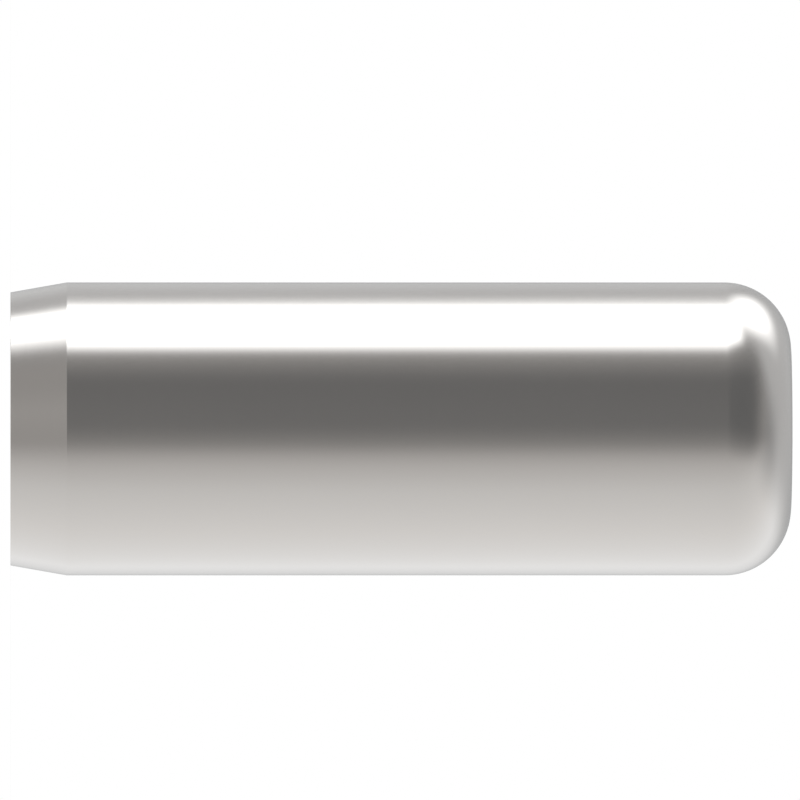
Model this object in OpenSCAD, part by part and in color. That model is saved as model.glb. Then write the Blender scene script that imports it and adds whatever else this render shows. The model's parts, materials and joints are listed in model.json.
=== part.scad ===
// Hardened and ground dowel pin: one solid steel cylinder with a shallow lead-in
// chamfer at one end and a large rounded corner at the other.
// The pin stands on the flat of its chamfered end, centred on the origin, and
// +Z runs along its axis to the rounded end. All sizes are in millimetres.

/* [Shank] */
// Ground diameter, which is 0.0002 in over the nominal 3/16 in
shank_d = 4.7676; // [2.5:0.0001:13]
// Overall length, from end face to end face
pin_l = 12.7; // [5:0.1:60]

/* [Chamfered end] */
// Length of the lead-in chamfer along the pin
chamfer_l = 0.915; // [0.1:0.005:2]
// Angle between the chamfer's side and the pin's axis, in degrees
chamfer_angle = 10; // [4:0.5:16]

/* [Rounded end] */
// Radius of the rounded corner
corner_r = 1.0795; // [0.1:0.0005:1.2]

/* [Hidden] */
$fn = 96;

steel = [0.68, 0.665, 0.65];
shank_r = shank_d / 2;
point_r = shank_r - chamfer_l * tan(chamfer_angle); // radius of the flat that the pin stands on
past = 0.5; // how far a cutting shape runs past what it cuts

// What a rounded corner of radius r takes off a square outside corner:
// the square outside the arc, run past the corner on both sides.
module outside_arc(r) {
    difference() {
        square(r + past);
        circle(r);
    }
}

// Half of the pin's lengthwise section: x is the radius and y runs along the pin.
module half_section() {
    difference() {
        polygon([
            [0, 0],
            [point_r, 0],
            [shank_r, chamfer_l],
            [shank_r, pin_l],
            [0, pin_l]
        ]);
        translate([shank_r - corner_r, pin_l - corner_r]) outside_arc(corner_r);
    }
}

// The whole pin, turned and ground from one bar.
module dowel_pin() {
    color(steel) rotate_extrude() half_section();
}

dowel_pin();
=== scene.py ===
"""A hardened and ground steel dowel pin, and the plain studio it stands in.

The pin is one turned solid, so its shape follows a rule: half of its lengthwise section,
with its corners rounded, is turned about the Z axis by a Geometry Nodes tree. Its sizes
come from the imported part. It stands on its chamfered end, with +Z along its axis.

The camera lies on its side at floor level, so that the standing pin spans the view. Seen
from there, right is +Z, up is -X, and the far side is +Y.
"""

import json
from math import cos, pi, radians, sin, tau

import bmesh
import bpy
from bpy.props import FloatProperty, FloatVectorProperty, IntProperty, PointerProperty
from bpy.types import NodeSocket, Operator, Panel, PropertyGroup
from mathutils import Matrix, Vector


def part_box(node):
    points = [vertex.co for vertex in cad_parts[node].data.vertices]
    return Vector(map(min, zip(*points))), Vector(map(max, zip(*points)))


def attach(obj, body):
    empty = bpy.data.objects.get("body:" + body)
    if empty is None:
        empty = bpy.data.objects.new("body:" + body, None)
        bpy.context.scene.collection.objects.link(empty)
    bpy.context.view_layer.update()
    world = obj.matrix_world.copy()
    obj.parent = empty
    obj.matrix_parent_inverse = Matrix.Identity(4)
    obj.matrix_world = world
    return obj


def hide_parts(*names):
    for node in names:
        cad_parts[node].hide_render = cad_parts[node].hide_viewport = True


bl_info = {
    "name": "Ground Dowel Pin",
    "version": (1, 0, 0),
    "blender": (4, 5, 0),
    "location": "3D View > Sidebar > Dowel Pin",
    "description": "Turns a ground steel dowel pin and sets up the studio it stands in",
    "category": "Object",
}

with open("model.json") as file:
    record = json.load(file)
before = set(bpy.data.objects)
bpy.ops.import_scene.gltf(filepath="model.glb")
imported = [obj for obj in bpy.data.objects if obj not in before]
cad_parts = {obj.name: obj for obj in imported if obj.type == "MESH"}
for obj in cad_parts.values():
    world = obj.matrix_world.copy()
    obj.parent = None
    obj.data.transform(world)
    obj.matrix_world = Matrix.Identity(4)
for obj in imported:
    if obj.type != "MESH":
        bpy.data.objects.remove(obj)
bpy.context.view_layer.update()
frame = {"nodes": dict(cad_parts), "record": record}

NODE = "dowel_pin"
MM = 0.001

# The steel reflects a tent and six cards, placed by their bearing round the pin's axis and
# their tilt towards +Z, in degrees. As the camera sees it, bearing 0 is in front, 90 is up,
# -90 is down, and 180 or -180 is behind. Lengths in the studio are in metres.
#
# Most numbers in the two tables, and the ceiling's, are a fitting program's output, rounded.
# They weren't set by hand, so they aren't an example to follow.
TENT_RADIUS = 14.0
TENT_TONES = (
    # bearing, tone and warmth of the cloth
    (-180, 0.60, -0.01),
    (-140, 1.10, -0.02),
    (-90, 0.90, 0.0),
    (-50, 0.75, 0.0),
    (-30, 0.60, 0.01),
    (-12, 0.38, 0.02),
    (15, 0.45, 0.02),
    (45, 0.40, 0.02),
    (75, 0.30, 0.0),
    (100, 0.65, -0.01),
    (145, 0.45, -0.01),
)
COOL = -0.015  # the warmth of the tent's top and of the cards

# The tilts between which the tent's walls turn into its ceiling, and how far down they turn into
# the floor's tone and then into a dark tone, all in degrees. The floor's tone is a painted
# reflection of the floor, which the steel doesn't see, and the dark tone is painted shade that
# stands for the floor's shadow right under the pin.
CEILING_TILTS = (45, 90)
FLOOR_DROPS = (30, 60)
SHADE_DROPS = (60, 85)

# The cards, from the furthest to the nearest, each in front of those it overlaps. Half sizes
# and the reach of the soft edges are shares of the distance.
CARDS = (
    # name, distance, bearing, tilt, roll, half width, half height, soft reach, tone
    ("pale_card", 10.0, 150, -5, 0, 0.65, 0.35, 0.65, 0.70),
    ("back_flag", 8.0, 175, 30, 15, 0.50, 1.00, 1.00, 0.35),
    ("grey_card", 5.0, 150, 52, 0, 1.20, 1.15, 0.95, 0.60),
    ("dark_flag", 4.0, 22, 25, -5, 1.05, 1.10, 0.75, 0.16),
    ("high_softbox", 3.0, 119, 25, 35, 0.64, 0.52, 0.64, 3.0),
    ("low_softbox", 2.0, 90, -1.5, -25, 0.54, 0.48, 0.31, 2.8),
)

# The marks that run round each face of the pin. Reach is how far one runs before it changes,
# and spread is how much the roughness varies.
MARKS = (
    # face, material, reach, depth, how much rougher than the shank, spread
    ("Shank", "ground_shank", 3 * MM, 0.0001 * MM, 0.0, 0.008),
    ("Chamfer", "ground_chamfer", 3 * MM, 0.0002 * MM, 0.0, 0.01),
    ("End Face", "turned_end", 20 * MM, 0.02 * MM, 0.05, 0.02),
)

# The lamp that gives the floor its shadow, a disk that faces the pin's foot.
LAMP_SPOT = Vector((-0.08, -0.06, 0.2))
LAMP_SIZE = 0.12

SENSOR_WIDTH = 36.0  # the camera's, in millimetres as its lens is


# ---------------------------------------------------------------------------
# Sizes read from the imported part
# ---------------------------------------------------------------------------

def shank_mount():
    """The mount that says where the ground shank is, its radius and its length."""
    return next(m for m in frame["record"]["mounts"] if m["name"] == "shank")


def foot_radius():
    """Radius of the flat that the pin stands on, from the part's own mesh."""
    vertices = frame["nodes"][NODE].data.vertices
    just_above = min(v.co.z for v in vertices) + 0.001 * MM
    return max(v.co.xy.length for v in vertices if v.co.z < just_above)


SHANK_R = shank_mount()["dims"]["r_mm"] * MM
SHANK_L = shank_mount()["dims"]["length_mm"] * MM
CHAMFER_L = shank_mount()["pos_m"][2] - SHANK_L / 2
PIN_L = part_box(NODE)[1][2]


# ---------------------------------------------------------------------------
# Settings that a user would change
# ---------------------------------------------------------------------------

def size(name, description, default):
    return FloatProperty(
        name=name, description=description, default=default, unit="LENGTH", precision=6
    )


def level(name, description, default, highest=4.0):
    return FloatProperty(
        name=name, description=description, default=default, min=0.0, max=highest
    )


def colour(name, description, default):
    return FloatVectorProperty(
        name=name, description=description, default=default,
        subtype="COLOR", min=0.0, max=1.0,
    )


class PinSizes(PropertyGroup):
    """Sizes of the pin's lengthwise section, and how finely it is turned"""

    shank_radius: size("Shank Radius", "Ground radius of the shank", SHANK_R)
    pin_length: size("Length", "From end face to end face", PIN_L)
    foot_radius: size("Foot Radius", "Flat at the chamfered end", foot_radius())
    chamfer_length: size("Chamfer Length", "Measured along the pin", CHAMFER_L)
    corner_radius: size(
        "Corner Radius", "Corner of the rounded end", PIN_L - CHAMFER_L - SHANK_L
    )
    edge_break: size("Edge Break", "Radius of the foot's broken edge", 0.006 * MM)
    chamfer_blend: size("Chamfer Blend", "Radius where chamfer meets shank", 0.05 * MM)
    ring_spacing: size("Ring Spacing", "Longest step along the section", 0.25 * MM)
    segments: IntProperty(
        name="Segments", description="Steps round the pin", default=256, min=16
    )


# The inputs of the pin's tree that are lengths, and the setting that each comes from.
LENGTHS = {
    "Shank Radius": "shank_radius",
    "Length": "pin_length",
    "Foot Radius": "foot_radius",
    "Chamfer Length": "chamfer_length",
    "Corner Radius": "corner_radius",
    "Edge Break": "edge_break",
    "Chamfer Blend": "chamfer_blend",
    "Ring Spacing": "ring_spacing",
}


class SteelFinish(PropertyGroup):
    """Colours, grinding marks and roughness of the steel"""

    bright: colour("Bright", "Steel where it is cleanest", (0.685, 0.66, 0.635))
    dull: colour("Dull", "Steel where it is hazy", (0.675, 0.65, 0.625))
    roughness: level("Roughness", "Middle roughness of the ground shank", 0.2, 1.0)
    grain: level("Grain", "How much the marks stretch reflections", 0.4, 1.0)
    shank_pitch: size("Shank Pitch", "Between marks on the shank", 0.06 * MM)
    chamfer_pitch: size("Chamfer Pitch", "Between marks on the chamfer", 0.08 * MM)
    end_pitch: size("End Pitch", "Between marks on the end faces", 0.15 * MM)
    haze_size: size("Haze Size", "Between clean and hazy places", 1.5 * MM)


class StudioLook(PropertyGroup):
    """The floor, the light, what the steel reflects, and the camera"""

    view_width: size("View Width", "Width of the view at the pin", 13.02 * MM)
    view_rise: size("View Rise", "Middle of the view above the axis", 0.47 * MM)
    view_middle: size("View Middle", "Middle of the view along the pin", 6.34 * MM)
    lens: FloatProperty(
        name="Lens", description="Focal length in mm, long to flatten perspective",
        default=1500.0, min=50.0, max=1600.0,
    )
    floor_radius: size("Floor Radius", "Radius of the floor", 90 * MM)
    floor_colour: colour("Floor Colour", "Pale floor", (0.9, 0.9, 0.9))
    sky: level("Sky", "Even light on the floor from all round", 0.6)
    lamp: level("Lamp", "Light on the floor from the lamp", 0.4)
    ceiling: level("Ceiling", "Tone reflected past the rounded end", 0.38)
    ceiling_fall: level("Ceiling Fall", "How much darker the ceiling is in front", 0.3)
    # Below is a painted reflection of the pale floor on the tent, and Shade is painted shade on
    # the tent for the floor's shadow right under the pin.
    below: level("Below", "Tone reflected past the chamfered end", 0.85)
    shade: level("Shade", "Tone reflected from right under the pin", 0.1)


# ---------------------------------------------------------------------------
# Building node trees
# ---------------------------------------------------------------------------

def shown(sockets, key):
    """The socket at this place, or the one with this name that is in use."""
    if isinstance(key, int):
        return sockets[key]
    return next(s for s in sockets if s.name == key and s.enabled)


def node(tree, kind, inputs=(), **settings):
    """Adds a node, sets its properties, and fills its inputs with values or outputs."""
    row, column = divmod(len(tree.nodes), 12)  # laid out in rows of twelve
    made = tree.nodes.new(kind)
    made.location = (200 * column, -300 * row)
    for name, value in settings.items():
        setattr(made, name, value)
    for key, value in dict(inputs).items():
        socket = shown(made.inputs, key)
        if isinstance(value, NodeSocket):
            tree.links.new(value, socket)
        else:
            socket.default_value = value
    return made


def field(tree, kind, inputs=(), **settings):
    """The first output in use of a node made as above."""
    made = node(tree, kind, inputs, **settings)
    return next(s for s in made.outputs if s.enabled)


def maths(tree, operation, *values):
    return field(tree, "ShaderNodeMath", enumerate(values), operation=operation)


def split(tree, vector):
    """The X, Y and Z outputs of a vector."""
    return node(tree, "ShaderNodeSeparateXYZ", {0: vector}).outputs


def joined(tree, x, y, z):
    return field(tree, "ShaderNodeCombineXYZ", {"X": x, "Y": y, "Z": z})


def smooth_step(tree, value, low, high, start=0.0, end=1.0):
    """Goes softly from start to end as a value goes from low to high."""
    return field(
        tree, "ShaderNodeMapRange",
        {"Value": value, "From Min": low, "From Max": high, "To Min": start, "To Max": end},
        interpolation_type="SMOOTHSTEP",
    )


def blend(tree, factor, first, second, data_type="FLOAT"):
    """A number between two others, or a colour between two colours."""
    return field(
        tree, "ShaderNodeMix", {"Factor": factor, "A": first, "B": second}, data_type=data_type
    )


def new_tree(name, kind, inputs, outputs):
    """A node group with named inputs and outputs, and its group input's outputs."""
    tree = bpy.data.node_groups.new(name, kind)
    for title, socket_type in inputs:
        tree.interface.new_socket(title, in_out="INPUT", socket_type=socket_type)
    for title, socket_type in outputs:
        tree.interface.new_socket(title, in_out="OUTPUT", socket_type=socket_type)
    return tree, tree.nodes.new("NodeGroupInput").outputs


def new_material(name):
    material = bpy.data.materials.new(name)
    material.use_nodes = True
    material.node_tree.nodes.clear()
    return material, material.node_tree


def new_object(name, data):
    made = bpy.data.objects.new(name, data)
    bpy.context.scene.collection.objects.link(made)
    return made


def made_by_bmesh(name, form, material):
    """A mesh object of this material that takes over a bmesh."""
    mesh = bpy.data.meshes.new(name)
    form.to_mesh(mesh)
    form.free()
    mesh.materials.append(material)
    return new_object(name, mesh)


# ---------------------------------------------------------------------------
# The turned shape
# ---------------------------------------------------------------------------

def for_each_corner(tree, kind, values):
    """A field that gives each corner of the half section its own value."""
    chosen = node(tree, "GeometryNodeIndexSwitch", data_type=kind)
    while len(chosen.index_switch_items) < len(values):
        chosen.index_switch_items.new()
    tree.links.new(field(tree, "GeometryNodeInputIndex"), chosen.inputs["Index"])
    for place, value in enumerate(values, start=1):
        if isinstance(value, NodeSocket):
            tree.links.new(value, chosen.inputs[place])
        else:
            chosen.inputs[place].default_value = value
    return chosen.outputs[0]


def half_section(tree, sizes):
    """The outline from the foot's middle to the top's, rounded and cut into even steps."""
    corners = (
        joined(tree, 0.0, 0.0, 0.0),
        joined(tree, sizes["Foot Radius"], 0.0, 0.0),
        joined(tree, sizes["Shank Radius"], 0.0, sizes["Chamfer Length"]),
        joined(tree, sizes["Shank Radius"], 0.0, sizes["Length"]),
        joined(tree, 0.0, 0.0, sizes["Length"]),
    )
    roundings = (0.0, sizes["Edge Break"], sizes["Chamfer Blend"], sizes["Corner Radius"], 0.0)
    rounding_steps = (1, 5, 3, 32, 1)
    points = field(
        tree, "GeometryNodePoints",
        {"Count": len(corners), "Position": for_each_corner(tree, "VECTOR", corners)},
    )
    rounded = field(
        tree, "GeometryNodeFilletCurve",
        {
            "Curve": field(tree, "GeometryNodePointsToCurves", {"Points": points}),
            "Radius": for_each_corner(tree, "FLOAT", roundings),
            "Count": for_each_corner(tree, "INT", rounding_steps),
        },
        mode="POLY",
    )
    here = field(tree, "GeometryNodeInputPosition")
    following = maths(tree, "ADD", field(tree, "GeometryNodeInputIndex"), 1)
    after = field(
        tree, "GeometryNodeFieldAtIndex", {"Value": here, "Index": following},
        data_type="FLOAT_VECTOR",
    )
    gap = field(tree, "ShaderNodeVectorMath", {0: here, 1: after}, operation="DISTANCE")
    cuts = maths(tree, "FLOOR", maths(tree, "DIVIDE", gap, sizes["Ring Spacing"]))
    return field(tree, "GeometryNodeSubdivideCurve", {"Curve": rounded, "Cuts": cuts})


def turned_pin_tree():
    """Turns the half section about Z: one ring of points for each point of the outline.

    Its lengths are in millimetres, because the modifier that comes after it takes faces as
    small as the pin's are in metres for faces without any area.
    """
    sliver = 0.001  # a face this near to an end's height is part of that end
    weld = 0.0001  # points this near to each other become one
    tree, given = new_tree(
        "turned_pin", "GeometryNodeTree",
        [(name, "NodeSocketFloat") for name in LENGTHS]
        + [("Segments", "NodeSocketInt")]
        + [(name, "NodeSocketMaterial") for name in ("Shank", "Chamfer", "End Face")],
        [("Geometry", "NodeSocketGeometry")],
    )
    outline = half_section(tree, given)
    count = field(
        tree, "GeometryNodeAttributeDomainSize", {"Geometry": outline}, component="CURVE"
    )
    columns = maths(tree, "ADD", given["Segments"], 1)
    sheet = node(
        tree, "GeometryNodeMeshGrid", {"Vertices X": count, "Vertices Y": columns}
    ).outputs["Mesh"]
    half_past = 0.5  # keeps the division clear of rounding
    index = maths(tree, "ADD", field(tree, "GeometryNodeInputIndex"), half_past)
    ring = maths(tree, "FLOOR", maths(tree, "DIVIDE", index, columns))
    column = maths(tree, "FLOOR", maths(tree, "MODULO", index, columns))
    turn = maths(tree, "DIVIDE", column, given["Segments"])

    def at_ring(value, kind):
        return field(
            tree, "GeometryNodeSampleIndex",
            {"Geometry": outline, "Value": value, "Index": ring}, data_type=kind,
        )

    travelled = node(tree, "GeometryNodeSplineParameter").outputs
    length_so_far = at_ring(travelled["Length"], "FLOAT")
    part_so_far = at_ring(travelled["Factor"], "FLOAT")
    shape = field(
        tree, "GeometryNodeSetPosition",
        {
            "Geometry": sheet,
            "Position": field(
                tree, "ShaderNodeVectorRotate",
                {
                    "Vector": at_ring(field(tree, "GeometryNodeInputPosition"), "FLOAT_VECTOR"),
                    "Angle": maths(tree, "MULTIPLY", turn, -tau),
                },
                rotation_type="Z_AXIS",
            ),
        },
    )
    # The marks read the length so far, in metres. The UV map is how far round by how far
    # along. It is worked out at the points, because a corner's index isn't its point's.
    flat_place = field(
        tree, "GeometryNodeFieldOnDomain",
        {"Value": joined(tree, turn, part_so_far, 0.0)},
        data_type="FLOAT_VECTOR", domain="POINT",
    )
    for name, kind, where, value in (
        ("along", "FLOAT", "POINT", maths(tree, "MULTIPLY", length_so_far, MM)),
        ("OFBake", "FLOAT2", "CORNER", flat_place),
    ):
        shape = field(
            tree, "GeometryNodeStoreNamedAttribute",
            {"Geometry": shape, "Name": name, "Value": value}, data_type=kind, domain=where,
        )
    # Closes the seam and both poles.
    shape = field(tree, "GeometryNodeMergeByDistance", {"Geometry": shape, "Distance": weld})
    shape = field(tree, "GeometryNodeSetShadeSmooth", {"Geometry": shape})
    shape = field(tree, "GeometryNodeRealizeInstances", {"Geometry": shape})
    height = split(tree, field(tree, "GeometryNodeInputPosition"))["Z"]
    under_top = maths(tree, "SUBTRACT", given["Length"], sliver)
    for name, where in (
        ("Shank", True),
        ("Chamfer", maths(tree, "LESS_THAN", height, given["Chamfer Length"])),
        ("End Face", maths(tree, "LESS_THAN", height, sliver)),
        ("End Face", maths(tree, "GREATER_THAN", height, under_top)),
    ):
        shape = field(
            tree, "GeometryNodeSetMaterial",
            {"Geometry": shape, "Selection": where, "Material": given[name]},
        )
    node(tree, "NodeGroupOutput", {"Geometry": shape})
    return tree


def made_by_nodes(name, tree, values):
    """A plain mesh object of what a tree that works in millimetres makes from these values."""
    maker = new_object(name + "_maker", bpy.data.meshes.new(name + "_maker"))
    shape = maker.modifiers.new("shape", "NODES")
    shape.node_group = tree
    for item in tree.interface.items_tree:
        if item.name in values:
            shape[item.identifier] = values[item.name]
    flatter = maker.modifiers.new("wide faces stay flat", "WEIGHTED_NORMAL")
    flatter.mode, flatter.weight, flatter.thresh = "FACE_AREA", 100, 0.001
    evaluated = maker.evaluated_get(bpy.context.evaluated_depsgraph_get())
    piece = new_object(name, bpy.data.meshes.new_from_object(evaluated))
    piece.data.name = name
    piece.data.transform(Matrix.Scale(MM, 4))
    piece.data.materials.pop(index=0)  # the empty slot that the tree's grid began with
    bpy.data.objects.remove(maker)
    return piece


# ---------------------------------------------------------------------------
# The steel
# ---------------------------------------------------------------------------

def grinding_marks_group():
    """Fine marks that run round the pin, a Pitch apart, and a slow haze over them."""
    tree, given = new_tree(
        "grinding_marks", "ShaderNodeTree",
        [(name, "NodeSocketFloat") for name in ("Pitch", "Reach", "Haze Size")],
        [(name, "NodeSocketFloat") for name in ("Marks", "Haze")],
    )
    spot = node(tree, "ShaderNodeTexCoord").outputs["Object"]
    across = split(tree, spot)
    along = node(tree, "ShaderNodeAttribute", attribute_name="along").outputs["Fac"]
    stretched = joined(
        tree,
        maths(tree, "DIVIDE", across["X"], given["Reach"]),
        maths(tree, "DIVIDE", across["Y"], given["Reach"]),
        maths(tree, "DIVIDE", along, given["Pitch"]),
    )
    marks = field(
        tree, "ShaderNodeTexNoise",
        {"Vector": stretched, "Scale": 1.0, "Detail": 1.0, "Roughness": 0.5},
    )
    wide = field(
        tree, "ShaderNodeVectorMath",
        {0: spot, "Scale": maths(tree, "DIVIDE", 1.0, given["Haze Size"])}, operation="SCALE",
    )
    haze = field(
        tree, "ShaderNodeTexNoise",
        {"Vector": wide, "Scale": 1.0, "Detail": 4.0, "Roughness": 0.5},
    )
    node(tree, "NodeGroupOutput", {"Marks": marks, "Haze": haze})
    return tree


def steel(name, marks_group, finish, pitch, reach, depth, roughness, spread):
    """Steel with marks this far apart, long and deep, whose roughness varies by spread."""
    across_the_marks = 0.25  # of a turn, from along them
    material, tree = new_material(name)
    group = tree.nodes.new("ShaderNodeGroup")
    group.node_tree = marks_group
    for key, length in (("Pitch", pitch), ("Reach", reach), ("Haze Size", finish.haze_size)):
        group.inputs[key].default_value = length
    marks, haze = group.outputs["Marks"], group.outputs["Haze"]
    tint = blend(tree, haze, (*finish.dull, 1.0), (*finish.bright, 1.0), data_type="RGBA")
    # The marks and the haze both stay near a half, so together they stay near one.
    rough = field(
        tree, "ShaderNodeMapRange",
        {
            "Value": maths(tree, "ADD", marks, haze),
            "From Min": 0.6, "From Max": 1.4,
            "To Min": roughness - spread, "To Max": roughness + spread,
        },
    )
    bump = field(tree, "ShaderNodeBump", {"Height": marks, "Distance": depth})
    shader = field(
        tree, "ShaderNodeBsdfPrincipled",
        {
            "Base Color": tint,
            "Metallic": 1.0,
            "Roughness": rough,
            "Anisotropic": finish.grain,
            "Anisotropic Rotation": across_the_marks,
            "Normal": bump,
            "Tangent": field(tree, "ShaderNodeTangent", direction_type="RADIAL", axis="Z"),
        },
    )
    node(tree, "ShaderNodeOutputMaterial", {"Surface": shader})
    return material


class DOWELPIN_OT_turn_pin(Operator):
    """Turn the pin from its half section and give it its ground steel finish"""

    bl_idname = "dowelpin.turn_pin"
    bl_label = "Turn the Pin"

    def execute(self, context):
        sizes, finish = context.scene.pin_sizes, context.scene.steel_finish
        values = {name: getattr(sizes, setting) / MM for name, setting in LENGTHS.items()}
        values["Segments"] = sizes.segments
        group = grinding_marks_group()
        pitches = (finish.shank_pitch, finish.chamfer_pitch, finish.end_pitch)
        for pitch, (face, name, reach, depth, rougher, spread) in zip(pitches, MARKS):
            roughness = finish.roughness + rougher
            values[face] = steel(name, group, finish, pitch, reach, depth, roughness, spread)
        pin = made_by_nodes("ground_pin", turned_pin_tree(), values)
        if not pin.data.polygons:
            raise RuntimeError("the turned pin has no faces")
        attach(pin, "root")
        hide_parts(NODE)
        return {"FINISHED"}


# ---------------------------------------------------------------------------
# The studio
# ---------------------------------------------------------------------------

def only_in_reflections(piece):
    """Makes this a part of the studio that the steel reflects and nothing else sees."""
    piece.active_material.cycles.emission_sampling = "NONE"
    piece.visible_camera = False
    piece.visible_diffuse = False
    piece.visible_shadow = False


def tinted(tone, warmth):
    """A grey of this tone, a little redder where its warmth is above 0 and bluer below 0."""
    return tone * (1.0 + warmth), tone, tone * (1.0 - warmth), 1.0


def place_camera(look):
    """A camera on its side at floor level, level with the foot of the pin."""
    just_above_floor = 0.01 * MM
    data = bpy.data.cameras.new("camera")
    data.lens = look.lens
    data.sensor_width = SENSOR_WIDTH
    away = look.view_width * data.lens / data.sensor_width
    data.clip_start, data.clip_end = away / 10, away * 10
    spot = Vector((-look.view_rise, -away, just_above_floor))
    target = Vector((-look.view_rise, 0.0, look.view_middle))
    back = (spot - target).normalized()
    up = Vector((-1.0, 0.0, 0.0))
    turned = Matrix((up.cross(back), up, back)).transposed().to_4x4()
    camera = new_object("camera", data)
    camera.matrix_world = Matrix.Translation(spot) @ turned
    bpy.context.scene.camera = camera


def light_world(look):
    """A world that looks white, and lights the floor evenly."""
    world = bpy.data.worlds.new("studio")
    bpy.context.scene.world = world
    world.use_nodes = True
    tree = world.node_tree
    tree.nodes.clear()
    ray = node(tree, "ShaderNodeLightPath").outputs
    mirrored = maths(tree, "MAXIMUM", ray["Is Glossy Ray"], ray["Is Transmission Ray"])
    looked_at = maths(tree, "MAXIMUM", ray["Is Camera Ray"], mirrored)
    white = field(
        tree, "ShaderNodeBackground",
        {"Color": (1.0, 1.0, 1.0, 1.0), "Strength": blend(tree, looked_at, look.sky, 1.0)},
    )
    node(tree, "ShaderNodeOutputWorld", {"Surface": white})
    world.cycles.sampling_method = "NONE"


def hang_tent(look):
    """A tent of soft tones round the whole studio, which the steel reflects."""
    material, tree = new_material("tent_cloth")
    spot = field(
        tree, "ShaderNodeVectorMath",
        {0: node(tree, "ShaderNodeTexCoord").outputs["Object"]}, operation="NORMALIZE",
    )
    towards = split(tree, spot)
    turn = maths(
        tree, "ARCTAN2",
        maths(tree, "MULTIPLY", towards["X"], -1.0),
        maths(tree, "MULTIPLY", towards["Y"], -1.0),
    )
    bearing = field(
        tree, "ShaderNodeMapRange", {"Value": turn, "From Min": -pi, "From Max": pi}
    )
    wall = node(tree, "ShaderNodeValToRGB", {"Fac": bearing})
    stops = wall.color_ramp.elements
    for degrees, tone, warmth in TENT_TONES[1:]:
        stops.new((degrees + 180) / 360).color = tinted(tone, warmth)
    stops[0].color = stops[-1].color = tinted(*TENT_TONES[0][1:])
    above = field(
        tree, "ShaderNodeVectorMath",
        {
            0: tinted(1.0, COOL)[:3],
            "Scale": maths(tree, "MULTIPLY_ADD", towards["Y"], look.ceiling_fall, look.ceiling),
        },
        operation="SCALE",
    )
    tilt = maths(tree, "ARCSINE", towards["Z"])
    drop = maths(tree, "MULTIPLY", tilt, -1.0)
    cloth = wall.outputs["Color"]
    # Going down, the walls turn first into a painted reflection of the floor, then into painted
    # shade that stands for the floor's shadow right under the pin.
    for (low, high), way, other_cloth in (
        (CEILING_TILTS, tilt, above),
        (FLOOR_DROPS, drop, tinted(look.below, 0.0)),
        (SHADE_DROPS, drop, tinted(look.shade, 0.0)),
    ):
        passed = smooth_step(tree, way, radians(low), radians(high))
        cloth = blend(tree, passed, cloth, other_cloth, data_type="RGBA")
    glow = field(tree, "ShaderNodeEmission", {"Color": cloth, "Strength": 1.0})
    node(tree, "ShaderNodeOutputMaterial", {"Surface": glow})
    form = bmesh.new()
    bmesh.ops.create_uvsphere(form, u_segments=64, v_segments=32, radius=TENT_RADIUS)
    only_in_reflections(made_by_bmesh("light_tent", form, material))


def hang_card(name, away, bearing, tilt, roll, half_width, half_height, soft, tone):
    """A flat card that faces the pin, whose edges fade away over their soft reach."""
    material, tree = new_material(name)
    place = split(tree, node(tree, "ShaderNodeTexCoord").outputs["UV"])
    mask = 1.0
    for axis, half in (("X", half_width), ("Y", half_height)):
        off = maths(tree, "ABSOLUTE", maths(tree, "MULTIPLY_ADD", place[axis], 2.0, -1.0))
        edge = smooth_step(tree, off, 1.0 - min(soft / half, 1.0), 1.0, 1.0, 0.0)
        mask = maths(tree, "MULTIPLY", mask, edge)
    shader = field(
        tree, "ShaderNodeMixShader",
        {
            0: mask,
            1: field(tree, "ShaderNodeBsdfTransparent"),
            2: field(tree, "ShaderNodeEmission", {"Color": tinted(1.0, COOL), "Strength": tone}),
        },
    )
    node(tree, "ShaderNodeOutputMaterial", {"Surface": shader})
    bearing, tilt, roll = radians(bearing), radians(tilt), radians(roll)
    towards = Vector((-sin(bearing) * cos(tilt), -cos(bearing) * cos(tilt), sin(tilt)))
    level_side = Vector((-cos(bearing), sin(bearing), 0.0))
    side = level_side * cos(roll) + level_side.cross(towards) * sin(roll)
    rise = side.cross(towards)
    form = bmesh.new()
    uv = form.loops.layers.uv.new("UVMap")
    unit_square = ((0, 0), (1, 0), (1, 1), (0, 1))
    corners = [
        (towards + side * half_width * (2 * u - 1) + rise * half_height * (2 * v - 1)) * away
        for u, v in unit_square
    ]
    face = form.faces.new([form.verts.new(corner) for corner in corners])
    for loop, corner in zip(face.loops, unit_square):
        loop[uv].uv = corner
    only_in_reflections(made_by_bmesh(name, form, material))


def lay_floor(look):
    """A pale round floor under the pin, which fades into the white around it."""
    material, tree = new_material("pale_floor")
    place = split(tree, node(tree, "ShaderNodeTexCoord").outputs["Object"])
    flat = joined(tree, place["X"], place["Y"], 0.0)
    out = node(tree, "ShaderNodeVectorMath", {0: flat}, operation="LENGTH").outputs["Value"]
    fade_start, fade_end = look.floor_radius * 0.3, look.floor_radius * 0.9
    fade = smooth_step(tree, out, fade_start, fade_end)
    shader = field(
        tree, "ShaderNodeMixShader",
        {
            0: fade,
            1: field(tree, "ShaderNodeBsdfDiffuse", {"Color": (*look.floor_colour, 1.0)}),
            2: field(tree, "ShaderNodeEmission", {"Strength": 1.0}),
        },
    )
    node(tree, "ShaderNodeOutputMaterial", {"Surface": shader})
    form = bmesh.new()
    bmesh.ops.create_circle(form, cap_ends=True, segments=128, radius=look.floor_radius)
    floor = made_by_bmesh("floor", form, material)
    floor.visible_glossy = False


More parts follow.
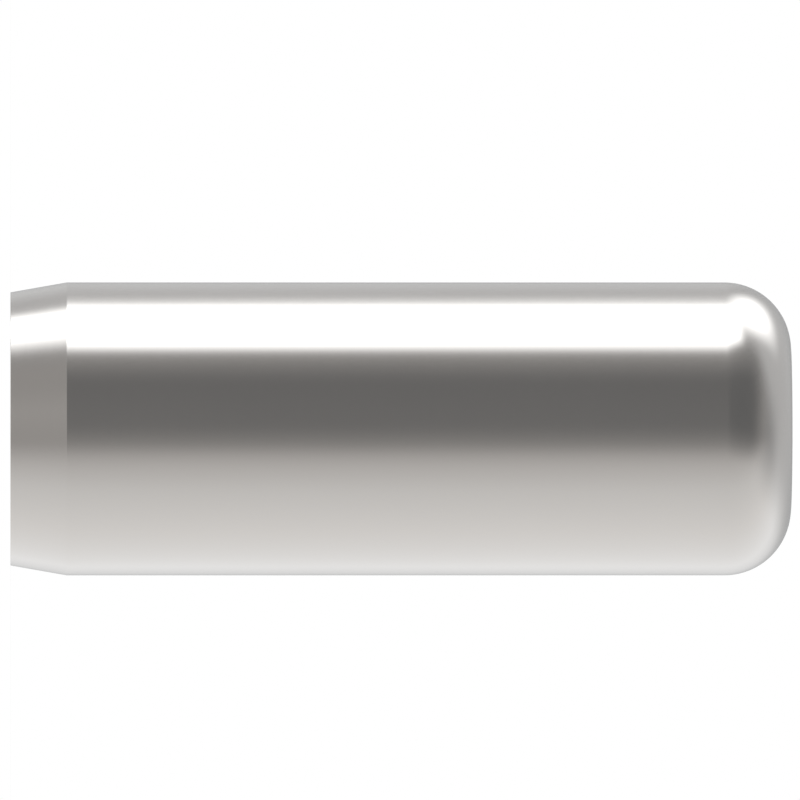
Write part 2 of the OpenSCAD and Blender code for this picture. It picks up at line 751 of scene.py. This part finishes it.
def hang_lamp(look):
    """A soft lamp overhead, which gives the floor its shadow."""
    data = bpy.data.lights.new("lamp", "AREA")
    data.shape = "DISK"
    data.size = LAMP_SIZE
    # The power goes with the distance squared, so that the level holds wherever the lamp is.
    data.energy = look.lamp * 4.0 * pi * LAMP_SPOT.length_squared
    lamp = new_object("lamp", data)
    lamp.location = LAMP_SPOT
    lamp.rotation_euler = (-LAMP_SPOT).to_track_quat("-Z", "Y").to_euler()
    lamp.visible_glossy = False


class DOWELPIN_OT_set_studio(Operator):
    """Set the floor, the light, what the steel reflects, and the camera"""

    bl_idname = "dowelpin.set_studio"
    bl_label = "Set the Studio"

    def execute(self, context):
        look = context.scene.studio_look
        place_camera(look)
        light_world(look)
        hang_tent(look)
        for card in CARDS:
            hang_card(*card)
        lay_floor(look)
        hang_lamp(look)
        return {"FINISHED"}


# ---------------------------------------------------------------------------
# The add-on
# ---------------------------------------------------------------------------

class DOWELPIN_PT_sidebar(Panel):
    """Lists the settings, each with the operator that uses them"""

    bl_idname = "DOWELPIN_PT_sidebar"
    bl_label = "Dowel Pin"
    bl_space_type = "VIEW_3D"
    bl_region_type = "UI"
    bl_category = "Dowel Pin"

    def draw(self, context):
        for groups, operator in (
            (("pin_sizes", "steel_finish"), "dowelpin.turn_pin"),
            (("studio_look",), "dowelpin.set_studio"),
        ):
            box = self.layout.box()
            for group in groups:
                settings = getattr(context.scene, group)
                for name in settings.__annotations__:
                    box.prop(settings, name)
            box.operator(operator)


CLASSES = (
    PinSizes, SteelFinish, StudioLook,
    DOWELPIN_OT_turn_pin, DOWELPIN_OT_set_studio, DOWELPIN_PT_sidebar,
)


def register():
    for cls in CLASSES:
        bpy.utils.register_class(cls)
    bpy.types.Scene.pin_sizes = PointerProperty(type=PinSizes)
    bpy.types.Scene.steel_finish = PointerProperty(type=SteelFinish)
    bpy.types.Scene.studio_look = PointerProperty(type=StudioLook)


def unregister():
    for name in ("studio_look", "steel_finish", "pin_sizes"):
        delattr(bpy.types.Scene, name)
    for cls in reversed(CLASSES):
        bpy.utils.unregister_class(cls)


def main():
    register()
    bpy.context.scene.view_settings.view_transform = "Standard"
    bpy.ops.dowelpin.turn_pin()
    bpy.ops.dowelpin.set_studio()


if __name__ == "__main__":
    main()
